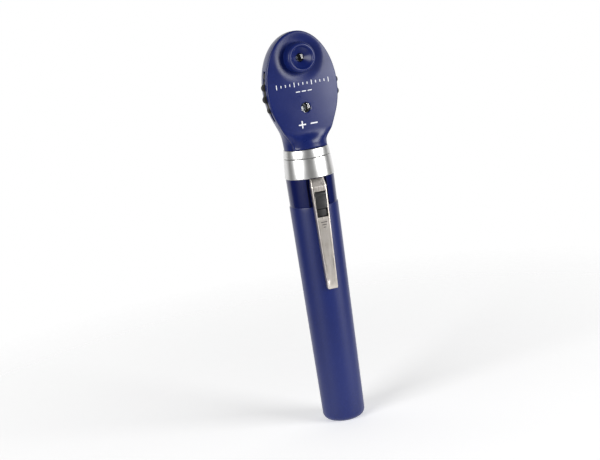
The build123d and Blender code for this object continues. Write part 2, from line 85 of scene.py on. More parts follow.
# the head: an oval from the front, and its faces along Y
HEAD_Z, HALF_WIDTH, HALF_HEIGHT = 144.5, 15.5, 23.0
FRONT_FACE, SEAM, BACK_FACE, FRONT_WALL, WALL = -7.0, -5.05, 8.0, 1.2, 1.3
CROWN, BOWL_DEPTH, BOWL_IN, BOWL_OUT = 0.75, 0.85, 5.4, 10.9
# the sight hole, the lens wheel and the window over its numbers
SIGHT_Z, SIGHT_R, RING_HOLE_R = 156.6, 1.77, 4.05
WHEEL_Z, WHEEL_R, WHEEL_DISC_R, WHEEL_FRONT, WHEEL_BACK = 143.5, 16.85, 14.95, -4.9, -2.7
STATIONS, LOBE_TURN = 20, 0.61
WINDOW_Z, WINDOW_R = 136.1, 2.1
# the patient's side: its window, the aperture wheel and the screws (x, z, depth of the head)
EXIT_Z, EXIT_R, EXIT_SEAT_R = 154.5, 5.7, 4.7
APERTURE_Z, APERTURE_Y, APERTURE_R = 137.0, 5.2, 4.8
SCREWS, SCREW_SEAT_R = ((-5.6, 125.0, 6.9), (5.6, 125.0, 6.9), (0.0, 163.4, 5.7)), 1.4


# ---- small maths -----------------------------------------------------------------------
def lerp(a, b, t):
    return a + (b - a) * t


def smooth(low, high, value):
    """0 below low, 1 above high, and a soft step between."""
    t = min(1.0, max(0.0, (value - low) / (high - low)))
    return t * t * (3 - 2 * t)


def softplus(value, softness):
    """The value itself where it is well above 0, and 0 where it is well below."""
    return max(value, 0.0) + softness * math.log1p(math.exp(-abs(value) / softness))


def spread(low, high, count):
    """count + 1 even steps from low to high, both ends included."""
    return [lerp(low, high, i / count) for i in range(count + 1)]


def rounded(corners, closed=True, steps=5):
    """A 2-D outline from (a, b, radius) corners, with each corner rounded by an arc."""
    outline = []
    total = len(corners)
    for i, (a, b, radius) in enumerate(corners):
        here = Vector((a, b))
        if radius <= 0 or (not closed and i in (0, total - 1)):
            outline.append((a, b))
            continue
        before = (Vector(corners[i - 1][:2]) - here).normalized()
        after = (Vector(corners[(i + 1) % total][:2]) - here).normalized()
        half = before.angle(after) / 2
        centre = here + (before + after).normalized() * (radius / math.sin(half))
        start = here + before * (radius / math.tan(half)) - centre
        end = here + after * (radius / math.tan(half)) - centre
        sweep = start.angle_signed(end)
        for t in spread(0.0, -sweep, steps):
            turned = Matrix.Rotation(t, 2) @ start
            outline.append(tuple(centre + turned))
    return outline


# ---- making pieces ---------------------------------------------------------------------
def make(name, verts, faces, material, body, slot, replaces=(), turn=0.0, sharp=32.0):
    """A mesh piece from points in millimetres, with its normals made to face outwards."""
    mesh = bpy.data.meshes.new(name)
    mesh.from_pydata([Vector(v) * MM for v in verts], [], faces)
    work = bmesh.new()
    work.from_mesh(mesh)
    bmesh.ops.remove_doubles(work, verts=work.verts, dist=WELD * MM)
    bmesh.ops.dissolve_degenerate(work, edges=work.edges, dist=SLIVER * MM)
    bmesh.ops.recalc_face_normals(work, faces=work.faces)
    work.to_mesh(mesh)
    work.free()
    if turn:
        mesh.transform(Matrix.Rotation(turn, 4, "Z"))
    obj = bpy.data.objects.new(name, mesh)
    bpy.context.scene.collection.objects.link(obj)
    shade(obj, sharp)
    mesh.materials.append(material)
    if body:
        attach(obj, body)
    if replaces:
        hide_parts(*replaces)
    return obj


def shade(obj, sharp):
    """Smooth shading that breaks at edges sharper than the angle in degrees."""
    obj.data.shade_smooth()
    obj.data.set_sharp_from_angle(angle=math.radians(sharp))


def apply_modifiers(obj):
    graph = bpy.context.evaluated_depsgraph_get()
    done = bpy.data.meshes.new_from_object(obj.evaluated_get(graph))
    obj.modifiers.clear()
    obj.data = done


def bevel(obj, width):
    """Round an object's sharp edges for good."""
    cut = obj.modifiers.new("edges", "BEVEL")
    cut.width = width * MM
    cut.segments = 2
    cut.limit_method = "ANGLE"
    cut.angle_limit = math.radians(50.0)
    cut.use_clamp_overlap = True
    apply_modifiers(obj)
    shade(obj, 50.0)


def bridge(faces, lower, upper):
    """Join two rings of indices with a band of faces."""
    for i in range(len(lower)):
        j = (i + 1) % len(lower)
        faces.append((lower[i], lower[j], upper[j], upper[i]))


def index_ring(start, count):
    return list(range(start, start + count))


def skin(rows, width, closed):
    """Faces over rings of points that follow one another, and back to the first if closed."""
    faces = []
    for r in range(rows if closed else rows - 1):
        bridge(faces, index_ring(r * width, width), index_ring((r + 1) % rows * width, width))
    return faces


def solid_between(low, high):
    """Points and faces of a closed piece between two matching loops."""
    count = len(low)
    faces = [tuple(range(count)), tuple(range(2 * count - 1, count - 1, -1))]
    return list(low) + list(high), faces + skin(2, count, False)


def lathe(name, profile, material, body, slot, axis="Z", centre=(0, 0, 0), segments=128, **more):
    """Turn a closed (radius, along) profile all round, about Z or Y."""
    verts = []
    for k in range(segments):
        angle = 2 * math.pi * k / segments
        across, forward = math.sin(angle), -math.cos(angle)
        for radius, along in profile:
            if axis == "Z":
                point = (radius * across, radius * forward, along)
            else:
                point = (radius * across, along, -radius * forward)
            verts.append([p + c for p, c in zip(point, centre)])
    return make(name, verts, skin(segments, len(profile), True), material, body, slot, **more)


def circle(x, z, radius, count):
    angles = [2 * math.pi * i / count for i in range(count)]
    return [(x + radius * math.sin(a), z + radius * math.cos(a)) for a in angles]


def inside(point, loop):
    """Whether a 2-D point is inside a closed loop."""
    hit = False
    px, py = point
    for (ax, ay), (bx, by) in zip(loop, loop[1:] + loop[:1]):
        if (ay > py) != (by > py) and px < (bx - ax) * (py - ay) / (by - ay) + ax:
            hit = not hit
    return hit


def nearest(point, loop):
    """The distance from a 2-D point to the closest point of a loop."""
    return min(math.hypot(point[0] - a, point[1] - b) for a, b in loop)


def flat_mesh(outer, holes, spacing):
    """Triangles over an outline with holes: the points, the triangles and each loop's indices."""
    loops = [outer] + holes

    def covered(point):
        return inside(point, outer) and not any(inside(point, hole) for hole in holes)

    points, edges, rings = [], [], []
    for loop in loops:
        ring = index_ring(len(points), len(loop))
        points += loop
        rings.append(ring)
        edges += list(zip(ring, ring[1:] + ring[:1]))
    xs, ys = [p[0] for p in outer], [p[1] for p in outer]
    row_height, clearance = spacing * 0.87, spacing * 0.55
    row, y = 0, min(ys) + spacing / 2
    while y < max(ys):
        x = min(xs) + spacing * (0.25 if row % 2 else 0.75)
        while x < max(xs):
            if covered((x, y)) and min(nearest((x, y), loop) for loop in loops) > clearance:
                points.append((x, y))
            x += spacing
        y += row_height
        row += 1
    found = delaunay_2d_cdt([Vector(p) for p in points], edges, [], 0, 1e-5)
    verts, sources = [tuple(v) for v in found[0]], found[3]
    place = {source: i for i, listed in enumerate(sources) for source in listed}
    triangles = []
    for face in found[2]:
        middle = [sum(verts[i][k] for i in face) / 3 for k in (0, 1)]
        if covered(middle):
            triangles.append(tuple(face))
    return verts, triangles, [[place[i] for i in ring] for ring in rings]


# ---- materials -------------------------------------------------------------------------
class Material:
    """A procedural material on one Principled shader, textured in millimetres of the object."""

    def __init__(self, name, colour, rough, **sockets):
        self.made = bpy.data.materials.new(name)
        self.made.use_nodes = True
        self.nodes = self.made.node_tree.nodes
        self.links = self.made.node_tree.links
        self.shader = self.nodes["Principled BSDF"]
        self.colour, self.rough, self.bumped = colour, rough, None
        self.shader.inputs["Base Color"].default_value = (*colour, 1)
        self.shader.inputs["Roughness"].default_value = rough
        for key, value in sockets.items():
            self.shader.inputs[key.replace("_", " ")].default_value = value
        self.place = self.nodes.new("ShaderNodeTexCoord")

    def noise(self, scale, detail=3.0, stretch=(1, 1, 1)):
        """Noise whose scale is in features per millimetre."""
        mapping = self.nodes.new("ShaderNodeMapping")
        mapping.inputs["Scale"].default_value = [s / MM for s in stretch]
        texture = self.nodes.new("ShaderNodeTexNoise")
        texture.inputs["Scale"].default_value = scale
        texture.inputs["Detail"].default_value = detail
        self.links.new(self.place.outputs["Object"], mapping.inputs["Vector"])
        self.links.new(mapping.outputs["Vector"], texture.inputs["Vector"])
        return texture.outputs["Fac"]

    def between(self, factor, low, high, start=0.3, end=0.7):
        """A value that runs from low to high as the factor runs from start to end."""
        ramp = self.nodes.new("ShaderNodeMapRange")
        for key, value in (("From Min", start), ("From Max", end), ("To Min", low), ("To Max", high)):
            ramp.inputs[key].default_value = value
        self.links.new(factor, ramp.inputs["Value"])
        return ramp.outputs["Result"]

    def vary_colour(self, factor, other, start=0.35, end=0.65):
        """Mix the colour so far with another where the factor is high."""
        mix = self.nodes.new("ShaderNodeMix")
        mix.data_type = "RGBA"
        base = self.shader.inputs["Base Color"]
        if base.is_linked:
            self.links.new(base.links[0].from_socket, mix.inputs["A"])
        else:
            mix.inputs["A"].default_value = (*self.colour, 1)
        mix.inputs["B"].default_value = (*other, 1)
        self.links.new(self.between(factor, 0.0, 1.0, start, end), mix.inputs["Factor"])
        self.links.new(mix.outputs["Result"], base)
        return self

    def vary_rough(self, factor, spread_by):
        low, high = max(0.02, self.rough - spread_by), self.rough + spread_by
        self.links.new(self.between(factor, low, high), self.shader.inputs["Roughness"])
        return self

    def bump(self, factor, depth):
        """Add relief of a depth in millimetres."""
        node = self.nodes.new("ShaderNodeBump")
        node.inputs["Distance"].default_value = depth * MM
        node.inputs["Strength"].default_value = 1.0
        self.links.new(factor, node.inputs["Height"])
        if self.bumped:
            self.links.new(self.bumped, node.inputs["Normal"])
        self.bumped = node.outputs["Normal"]
        self.links.new(self.bumped, self.shader.inputs["Normal"])
        return self


def navy(name):
    """The navy plastic, before its gloss is settled."""
    m = Material(name, (0.0055, 0.0140, 0.110), 0.31, IOR=1.45)
    m.vary_colour(m.noise(0.05, 3.0), (0.0045, 0.0118, 0.096))
    m.vary_colour(m.noise(1.6, 4.0), (0.0085, 0.0175, 0.128), 0.5, 0.75)
    return m.bump(m.noise(4.0, 2.0), 0.0030)


def navy_plastic():
    m = navy("navy_plastic")
    return m.vary_rough(m.noise(0.12, 4.0), 0.04).made


def handle_plastic():
    """The navy plastic, with the band under the collar left glossier and painted darker, as painted shade
    for the dark room its gloss reflects.
    """
    satin, glossy = 0.34, 0.17
    m = navy("handle_plastic")
    height = m.nodes.new("ShaderNodeSeparateXYZ")
    m.links.new(m.place.outputs["Object"], height.inputs["Vector"])
    step = (BAND_LOW * MM, (BAND_LOW + BAND_DEPTH) * MM)
    # painted shade: the band's darker colour stands in for the dark room that its gloss reflects
    m.vary_colour(height.outputs["Z"], (0.0035, 0.0075, 0.068), *step)
    m.links.new(m.between(height.outputs["Z"], satin, glossy, *step), m.shader.inputs["Roughness"])
    return m.made


def plain(name, colour, other, rough, tint, gloss, relief, span=(0.35, 0.65), **sockets):
    """A material in two colours, from the noise of its tint, its gloss and its relief.

    The gloss's last value is how far the roughness varies, the relief's is its depth."""
    m = Material(name, colour, rough, **sockets)
    m.vary_colour(m.noise(*tint), other, *span)
    m.vary_rough(m.noise(*gloss[:-1]), gloss[-1])
    return m.bump(m.noise(*relief[:-1]), relief[-1]).made


def glass(name, colour):
    m = Material(name, colour, 0.03, IOR=1.52, Transmission_Weight=1.0, Coat_Weight=0.3, Coat_Roughness=0.03)
    m.vary_colour(m.noise(0.3, 3.0), tuple(c * 0.96 for c in colour))
    return m.vary_rough(m.noise(0.5, 4.0), 0.02).made


def polished_mirror():
    m = Material("polished_mirror", (0.90, 0.90, 0.91), 0.03, Metallic=1.0)
    m.vary_colour(m.noise(0.4, 3.0), (0.86, 0.86, 0.88))
    return m.vary_rough(m.noise(0.6, 4.0), 0.015).made


NAVY = navy_plastic()
ALUMINIUM = plain("turned_aluminium", (0.80, 0.80, 0.79), (0.76, 0.76, 0.75), 0.35, (0.2, 4.0),
                  (1.0, 3.0, (0.05, 0.05, 4.0), 0.02), (1.0, 2.0, (0.03, 0.03, 7.0), 0.0004), Metallic=1.0)
NICKEL = plain("satin_nickel", (0.88, 0.82, 0.76), (0.80, 0.74, 0.67), 0.33, (0.3, 4.0),
               (1.0, 4.0, (3.0, 3.0, 0.12), 0.06), (1.0, 3.0, (5.0, 5.0, 0.12), 0.0006), Metallic=1.0)
BLACK = plain("black_plastic", (0.018, 0.018, 0.019), (0.026, 0.026, 0.027), 0.42, (0.4, 4.0),
              (0.8, 4.0, 0.07), (6.0, 3.0, 0.006), IOR=1.48)
RUBBER = plain("black_rubber", (0.014, 0.014, 0.014), (0.024, 0.023, 0.022), 0.62, (0.5, 5.0),
               (0.7, 4.0, 0.09), (5.0, 4.0, 0.009), IOR=1.5)
STEEL = plain("bright_steel", (0.62, 0.62, 0.63), (0.55, 0.55, 0.56), 0.28, (0.5, 5.0),
              (0.7, 4.0, 0.05), (4.0, 3.0, 0.0005), Metallic=1.0)
WHITE = plain("white_print", (0.80, 0.81, 0.84), (0.66, 0.68, 0.74), 0.5, (2.5, 5.0),
              (1.5, 4.0, 0.08), (6.0, 3.0, 0.003), span=(0.5, 0.75))
# the sight window's dark tint is painted shade, standing in for the dark hollow of the head behind the sight
# hole
GLASS, SHADE_DARKENED_GLASS = glass("clear_glass", (0.93, 0.96, 0.98)), glass("shade_darkened_glass", (0.16, 0.17, 0.22))
SLOT_LOOKS = {
    "navy_plastic": NAVY,
    "satin_aluminium": ALUMINIUM,
    "satin_nickel": NICKEL,
    "black_plastic": BLACK,
    "black_rubber": RUBBER,
    "brass": plain("bright_brass", (0.80, 0.58, 0.24), (0.62, 0.42, 0.17), 0.28, (0.4, 5.0),
                   (0.6, 4.0, 0.08), (1.0, 3.0, (0.1, 0.1, 6.0), 0.002), Metallic=1.0),
    "steel": STEEL,
    "cell_jacket": plain("cell_jacket", (0.045, 0.05, 0.06), (0.55, 0.36, 0.10), 0.3,
                         (1.0, 1.0, (0.0, 0.0, 0.06)), (0.3, 4.0, 0.06), (0.5, 3.0, 0.004),
                         span=(0.52, 0.53), Coat_Weight=0.4),
    "insulator": plain("pale_insulator", (0.72, 0.70, 0.62), (0.62, 0.60, 0.52), 0.45, (0.5, 4.0),
                       (0.5, 4.0, 0.08), (4.0, 3.0, 0.004)),
    "number_card": plain("number_card", (0.020, 0.020, 0.022), (0.032, 0.032, 0.034), 0.5, (0.7, 4.0),
                         (0.7, 4.0, 0.08), (5.0, 3.0, 0.003)),
    "clear_glass": GLASS,
    "green_glass": glass("green_glass", (0.15, 0.62, 0.30)),
    "mirror": polished_mirror(),
}

SLOT_OF = {entry["node"]: entry["material_slot"] for entry in frame["record"]["subparts"]}
for entry in frame["record"]["subparts"]:
    node = frame["nodes"][entry["node"]]
    node.data.materials.clear()
    node.data.materials.append(SLOT_LOOKS[entry["material_slot"]])


# ---- the handle ------------------------------------------------------------------------
def handle_radius(z):
    return HANDLE_R_LOW + (HANDLE_R_HIGH - HANDLE_R_LOW) * z / HANDLE_TOP


def handle_rows():
    """(height, outer radius, in the band) from the foot up to the top."""
    step, lip = 0.01, 0.35                  # half a sharp step's height, and the lip under the band
    rows = []
    for angle in spread(0.0, math.pi / 2, 8):
        rows.append((FOOT_ROUND * (1 - math.cos(angle)),
                     handle_radius(FOOT_ROUND) - FOOT_ROUND * (1 - math.sin(angle)), False))
    heights = spread(FOOT_ROUND + 2.0, BED_LOW - step, 16) + [BED_LOW + step]
    heights += spread(BED_LOW + 2.6, BAND_LOW - lip, 5)
    rows += [(z, handle_radius(z), False) for z in heights]
    at_band = handle_radius(BAND_LOW)
    rows += [(BAND_LOW - 2 * step, at_band - 3 * step, False), (BAND_LOW + step, at_band - 5 * step, True)]
    rows += [(BAND_LOW + BAND_DEPTH * t, at_band - BAND_DEPTH * t, True) for t in spread(0.25, 1.0, 3)]
    heights = spread(BAND_LOW + 1.5, HANDLE_TOP - 2 * step, 6)
    return rows + [(z, handle_radius(z) - BAND_DEPTH, True) for z in heights]


def handle():
    """A fine grid round the handle, cut by the flat pocket that the clip lies in."""
    around, channel_x, bed_x = 110, 3.7, 1.5      # columns round the back, and two places along the front
    near = [(-POCKET_HALF, False), (-POCKET_HALF, True), (-channel_x, True), (-BED_HALF, True)]
    columns = [(x, in_pocket, False) for x, in_pocket in near]
    columns += [(x, True, True) for x in (-BED_HALF, -bed_x, 0.0, bed_x, BED_HALF)]
    columns += [(-x, in_pocket, False) for x, in_pocket in reversed(near)]

    def depth(x, radius, z, in_pocket, in_bed, banded):
        y = -math.sqrt(max(radius ** 2 - x ** 2, 0.0))
        if in_bed and z > BED_LOW:
            return max(y, BED_FLOOR)
        if in_pocket and banded:
            return max(y, BAND_CHANNEL_FLOOR)
        if in_pocket and z > BED_LOW:
            return max(y, CHANNEL_FLOOR)
        return y

    def ring(radius, z, banded, cut=True):
        narrow = min(1.0, radius / HANDLE_R_LOW)
        row = []
        for x, in_pocket, in_bed in columns:
            y = depth(x * narrow, radius, z, cut and in_pocket, cut and in_bed, banded)
            row.append((x * narrow, y, z))
        edge = math.asin(min(1.0, POCKET_HALF * narrow / radius))
        for angle in spread(edge, 2 * math.pi - edge, around)[1:-1]:
            row.append((radius * math.sin(angle), -radius * math.cos(angle), z))
        return row

    rings = [ring(radius, z, banded) for z, radius, banded in handle_rows()]
    for radius, z in ((SLEEVE_R, HANDLE_TOP - 0.02), (SLEEVE_R, SLEEVE_LOW), (BORE_R, SLEEVE_LOW),
                      (BORE_R, HANDLE_FLOOR)):
        rings.append(ring(radius, z, False, cut=False))
    width = len(rings[0])
    verts = [point for row in rings for point in row]
    faces = skin(len(rings), width, False)
    for r, z in ((0, 0.0), (len(rings) - 1, HANDLE_FLOOR)):
        verts.append((0.0, 0.0, z))
        faces += [(r * width + c, r * width + (c + 1) % width, len(verts) - 1) for c in range(width)]
    make("handle_body", verts, faces, handle_plastic(), "handle", "navy_plastic", ["handle_tube"],
         CLIP_TURN, 40.0)


def ring_profile(low_r, low_z, high_r, high_z, bore_r):
    """A collar ring's section, with its two outer edges rounded."""
    edge = 0.22
    return rounded([(bore_r, low_z, 0), (low_r, low_z, edge), (high_r, high_z, edge), (bore_r, high_z, 0)])


def collar():
    """The two satin rings, with a fine dark groove left between them."""
    groove, gap = 0.1, 0.02                 # half the groove's height, and the room at the ends
    profile = ring_profile(10.47, HANDLE_TOP + gap, 9.88, COLLAR_SPLIT - groove, SLEEVE_R)
    lathe("collar_lower_ring", profile, ALUMINIUM, "handle", "satin_aluminium", replaces=["collar_ring"])
    profile = ring_profile(9.87, COLLAR_SPLIT + groove, 9.5, HEAD_BASE - gap, 7.86)
    lathe("collar_upper_ring", profile, ALUMINIUM, "head", "satin_aluminium", replaces=["head_ring"])


def head_thread():
    """The head's threaded spigot: four ridges with a lead of 3 mm, run out at both ends."""
    root, crest, plain_r, bore, pitch, starts, around = 7.25, 7.8, 7.6, 6.76, 0.75, 4, 120
    low, run_out, high, top = 107.6, 114.2, 119.0, 121.5
    rows = []
    for z in spread(low, high, 110):
        past = smooth(run_out, run_out + 1.0, z)
        fade = smooth(low + 0.1, low + 0.9, z) * (1.0 - past)
        radii = []
        for k in range(around):
            wave = abs(((z / pitch - starts * k / around) % 1.0) * 2 - 1)
            ridge = lerp(root, crest, smooth(0.15, 0.85, wave))
            radii.append(lerp(lerp(root, crest, past), ridge, fade))
        rows.append((z, radii))
    for radius, z in ((plain_r, high), (plain_r, top), (bore, top), (bore, low)):
        rows.append((z, [radius] * around))
    angles = [2 * math.pi * k / around for k in range(around)]
    verts = [(r * math.sin(a), -r * math.cos(a), z) for z, radii in rows for r, a in zip(radii, angles)]
    make("head_thread", verts, skin(len(rows), around, True), ALUMINIUM, "head", SLOT_OF["head_spigot"],
         ["head_spigot"], sharp=50.0)


def contact_spring():
    """The short spring behind the centre contact, a fixed coil that moves with the contact."""
    radius, wire, pitch, rise, seat, around, steps = 1.9, 0.2, 0.75, 1.1, 109.8, 10, 60
    first = seat + 0.24
    verts = []
    for t in spread(0.0, 1.0, steps):
        angle = 2 * math.pi * (rise / pitch) * t
        for i in range(around):
            spin = 2 * math.pi * i / around
            reach = radius + wire * math.cos(spin)
            verts.append((reach * math.cos(angle), reach * math.sin(angle),
                          first + rise * t + wire * math.sin(spin)))
    faces = skin(steps + 1, around, False)
    faces += [tuple(index_ring(0, around)), tuple(index_ring(steps * around, around))]
    spring = make("contact_spring", verts, faces, STEEL, "plunger", "steel", ["plunger_spring"])
    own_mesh(spring)


# ---- the clip and the switch -----------------------------------------------------------
def clip_face(z):
    """The Y of the arm's face, which leans in towards its tip."""
    return CLIP_FACE + CLIP_LEAN * (CLIP_TOP - z) / (CLIP_TOP - CLIP_TIP)


def clip_half(z):
    return CLIP_TIP_HALF + (min(z, CLIP_TOP) - CLIP_TIP) * CLIP_WIDENING


def clip_row(z):
    """The clip's outer section at one height: points across it from flange to flange."""
    corner, splay, narrowing = 0.52, 0.22, 0.35
    face, half, depth = clip_face(z), clip_half(z), CLIP_DEPTH
    if z > CLIP_TOP:
        rise = (z - CLIP_TOP) / (ANCHOR_TOP - CLIP_TOP)
        face, half = lerp(CLIP_FACE, ANCHOR_FACE, rise), half - narrowing * rise
        depth = lerp(CLIP_DEPTH, ANCHOR_DEPTH, rise)
    flange_x, flange_y = half + splay, face + depth
    row = [(-flange_x, flange_y), (-lerp(half, flange_x, 0.45), lerp(face + corner, flange_y, 0.5))]
    for angle in spread(0.0, math.pi / 2, 5):
        row.append((-half + corner * (1 - math.cos(angle)), face + corner * (1 - math.sin(angle))))
    row += [(-CLIP_WINDOW_HALF * min(1.0, half / 2.9), face), (-half * 0.35, face)]
    return [(x, y, z) for x, y in row] + [(0.0, face, z)] + [(-x, y, z) for x, y in reversed(row)]


def sheet_inner(row, thickness):
    """The same section moved in by the sheet's thickness, along its own normals."""
    inner = []
    for i, (x, y, z) in enumerate(row):
        before, after = row[max(i - 1, 0)], row[min(i + 1, len(row) - 1)]
        along = Vector((after[0] - before[0], after[1] - before[1])).normalized()
        inner.append((x - along.y * thickness, y + along.x * thickness, z))
    return inner


def clip():
    """One bent sheet of spring steel, with the switch's window cut through it."""
    low_z, high_z = CLIP_WINDOW
    heights = spread(CLIP_TIP + CLIP_SHEET, low_z - 1.7, 15) + [low_z]
    heights += spread(low_z + 0.3, high_z - 0.3, 6) + [high_z, high_z + 1.0, CLIP_TOP - 0.35]
    heights += [CLIP_TOP, CLIP_TOP + 0.3, CLIP_TOP + 1.0, CLIP_TOP + 2.0, ANCHOR_TOP]
    outer = [clip_row(z) for z in heights]
    width = len(outer[0])
    left = next(i for i, p in enumerate(clip_row(95.0)) if abs(p[0] + CLIP_WINDOW_HALF) < 0.01)
    verts = [p for row in outer for p in row] + [p for row in outer for p in sheet_inner(row, CLIP_SHEET)]
    deep = width * len(heights)

    def in_window(r, c):
        return low_z <= heights[r] and heights[r + 1] <= high_z and left <= c < width - 1 - left

    cells = [(r, c) for r in range(len(heights) - 1) for c in range(width - 1) if not in_window(r, c)]
    solid, faces = set(cells), []
    for r, c in cells:
        a, b, up, over = r * width + c, r * width + c + 1, (r + 1) * width + c, (r + 1) * width + c + 1
        faces += [(a, b, over, up), (deep + a, deep + up, deep + over, deep + b)]
        for beside, first, second in (((r - 1, c), a, b), ((r + 1, c), over, up), ((r, c - 1), up, a),
                                      ((r, c + 1), b, over)):
            if beside not in solid:
                faces.append((first, second, deep + second, deep + first))
    obj = make("pocket_clip", verts, faces, NICKEL, None, "satin_nickel", ["clip_arm", "clip_anchor"],
               CLIP_TURN, 60.0)
    bevel(obj, 0.1)
    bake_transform(obj)
    lowest = [(x * 0.93, y + 0.12 * (1 - abs(x) / 3), z) for x, y, z in clip_row(CLIP_TIP)]
    verts, faces = solid_between(outer[0], lowest)
    make("clip_tip_wall", verts, faces, NICKEL, "clip", "satin_nickel", turn=CLIP_TURN)


def prism(name, profile, half, body, **more):
    """A black (y, z) outline carried along X, symmetric about the clip's middle."""
    verts, faces = solid_between(*([(side * half, y, z) for y, z in profile] for side in (-1, 1)))
    return make(name, verts, faces, BLACK, body, "black_plastic", turn=CLIP_TURN, **more)


def switch():
    """The black slide: a thumb block with a ridge, and its guide plate under the clip."""
    low, high = SWITCH_THUMB
    face, ridge, step, guide, back = -12.6, -12.99, -11.45, -10.9, -9.0
    thumb_half, plate_half, edge = 2.32, 2.1, 0.09
    outline = [(guide + 0.1, low, 0), (face, low, 0.25), (face + 0.12, (low + high) / 2 - 0.6, 2.0),
               (face, high - 1.7, 0.15), (ridge, high - 1.15, 0.2), (ridge, high - 0.5, 0.2),
               (face + 0.2, high, 0.2), (guide + 0.1, high, 0)]
    thumb = prism("switch_thumb_slide", rounded(outline), thumb_half, "switch", replaces=["switch_slider"],
                  sharp=30.0)
    bevel(thumb, edge)
    plate_low, step_low, plate_high = 86.3, 90.95, 102.6
    outline = [(back, plate_low, 0.1), (guide, plate_low, 0.1), (guide, step_low, 0),
               (step, step_low, 0.12), (step, low - 0.45, 0.12), (guide, low - 0.4, 0),
               (guide, plate_high, 0.1), (back, plate_high, 0.1)]
    bevel(prism("switch_guide_plate", rounded(outline), plate_half, "switch", sharp=30.0), edge)


def clip_marks():
    """Three short dark rules under the window, in place of print."""
    top, pitch, half_height, proud, sunk = 88.6, 1.1, 0.13, 0.03, 0.1
    for i, half in enumerate((1.3, 0.9, 0.5)):
        z = top - pitch * i
        outer, inner = clip_face(z) - proud, clip_face(z) + sunk
        low, high = z - half_height, z + half_height
        outline = [(outer, low), (outer, high), (inner, high), (inner, low)]
        prism(f"clip_rule_{i + 1}", outline, half, "clip")


# ---- the head --------------------------------------------------------------------------
def plate_y(x, z):
    """The front: slightly crowned, hollowed round the ring, and swelling into the round neck."""
    neck_low, neck_high, fullness = 121.4, 127.0, 1.3
    edge = (x / HALF_WIDTH) ** 2 + ((z - HEAD_Z) / HALF_HEIGHT) ** 2
    y = FRONT_FACE - CROWN * max(0.0, 1.0 - edge)
    y += BOWL_DEPTH * (1.0 - smooth(BOWL_IN, BOWL_OUT, math.hypot(x, z - SIGHT_Z)))
    neck = -math.sqrt(max(flare(z) ** 2 - x ** 2, 0.0))
    return lerp(y, neck, (1.0 - smooth(neck_low, neck_high, z)) ** fullness)


def flare(z):
    """Half width of the back housing where it runs down into the neck."""
    return NECK_R + FLARE_SLOPE * softplus(z - FLARE_LOW, 1.0)


def housing_edges(inset, low, sides, arc):
    """The flared lower right side, going up, and the oval arc over the top that it leans over to meet."""
    half_width, half_height = HALF_WIDTH - inset, HALF_HEIGHT - inset
    meet = math.acos((FLARE_TOP - HEAD_Z) / half_height)
    drift = half_width * math.sin(meet) - (flare(FLARE_TOP) - inset)
    side = [(flare(z) - inset + drift * smooth(DRIFT_LOW, FLARE_TOP, z), z)
            for z in spread(low, FLARE_TOP, sides)[:-1]]
    curve = [(half_width * math.sin(a), HEAD_Z + half_height * math.cos(a))
             for a in spread(meet, -meet, arc)]
    return side, curve


def housing_outline(inset):
    """The back housing's outline, open at the neck: up one side, over the top, down the other."""
    side, curve = housing_edges(inset, SHELL_LOW, 16, 64)
    return side + curve + [(-x, z) for x, z in reversed(side)]


def into_neck(x, y, z):
    """Draw a point of the housing in to the round neck as it comes down."""
    round_below, own_above = 121.0, 127.5           # fully round, and no longer drawn in at all
    free_low, free_high, freedom = 133.0, 141.0, 6.0
    limit = flare(z)
    near = 1.0 - smooth(round_below, own_above, z)
    if y <= 0.0:
        round_x = math.copysign(math.sqrt(limit ** 2 - y ** 2), x)
        return lerp(x, round_x, near), y, z
    reach = math.hypot(x, y)
    roomy = limit + freedom * smooth(free_low, free_high, z)
    softness = 0.35 * smooth(0.0, 3.0, y) + 0.01
    held = lerp(roomy - softplus(roomy - reach, softness), limit, near)
    if near == 0.0:
        held = min(held, reach)
    return x * held / reach, y * held / reach, z


def front_outline(inset, bottom=14):
    """The front's outline: the housing's own edge at the seam, closed across the neck."""
    side, curve = housing_edges(inset, SHELL_LOW + inset, 22, 170)
    side = [(into_neck(x + inset, SEAM, z)[0] - inset, z) for x, z in side]
    foot = [(x, side[0][1]) for x in spread(-side[0][0], side[0][0], bottom)[1:-1]]
    return side + curve + [(-x, z) for x, z in reversed(side)] + foot


def front_shell():
    """The front plate with its rounded rim, side wall, sight hole, window and half of the neck."""
    rim, border, sink = 0.8, 1.5, 0.3        # the rim's radius, its structured border, the countersink
    outline = front_outline(rim + border)
    holes = [circle(0, SIGHT_Z, RING_HOLE_R, 72), circle(0, WINDOW_Z, WINDOW_R + 0.32, 56)]
    flat, faces, loops = flat_mesh(outline, holes, 0.5)
    verts = [(x, plate_y(x, z), z) for x, z in flat]
    last = loops[0]

    def add_ring(inset, depths):
        nonlocal last
        ring = index_ring(len(verts), len(outline))
        verts.extend((x, y, z) for (x, z), y in zip(front_outline(inset), depths))
        bridge(faces, last, ring)
        last = ring

    for inset in spread(rim + border, rim, 5)[1:]:
        start_y = [plate_y(x, z) for x, z in front_outline(inset)]
        add_ring(inset, start_y)
    for angle in spread(0.0, math.pi / 2, 7)[1:]:
        fall = rim * (1 - math.cos(angle))
        add_ring(rim * (1 - math.sin(angle)), [min(y + fall, SEAM - 0.22) for y in start_y])
    inner = FRONT_FACE + FRONT_WALL
    for inset, y in ((0.0, SEAM - 0.2), (0.12, SEAM - 0.05), (WALL, SEAM - 0.05), (WALL, inner)):
        add_ring(inset, [y] * len(outline))
    back, back_faces, back_loops = flat_mesh(front_outline(WALL), holes, 1.6)
    offset = len(verts)
    verts.extend((x, inner, z) for x, z in back)
    faces += [tuple(i + offset for i in face) for face in back_faces]
    sight_back, window_back = [[i + offset for i in loop] for loop in back_loops[1:]]
    bridge(faces, loops[1], sight_back)
    window_edge = index_ring(len(verts), len(holes[1]))
    verts.extend((x, plate_y(x, z) + sink, z) for x, z in circle(0, WINDOW_Z, WINDOW_R, len(holes[1])))
    bridge(faces, loops[2], window_edge)
    bridge(faces, window_edge, window_back)
    make("head_front_shell", verts, faces, NAVY, "head", "navy_plastic", ["front_shell"], sharp=38.0)


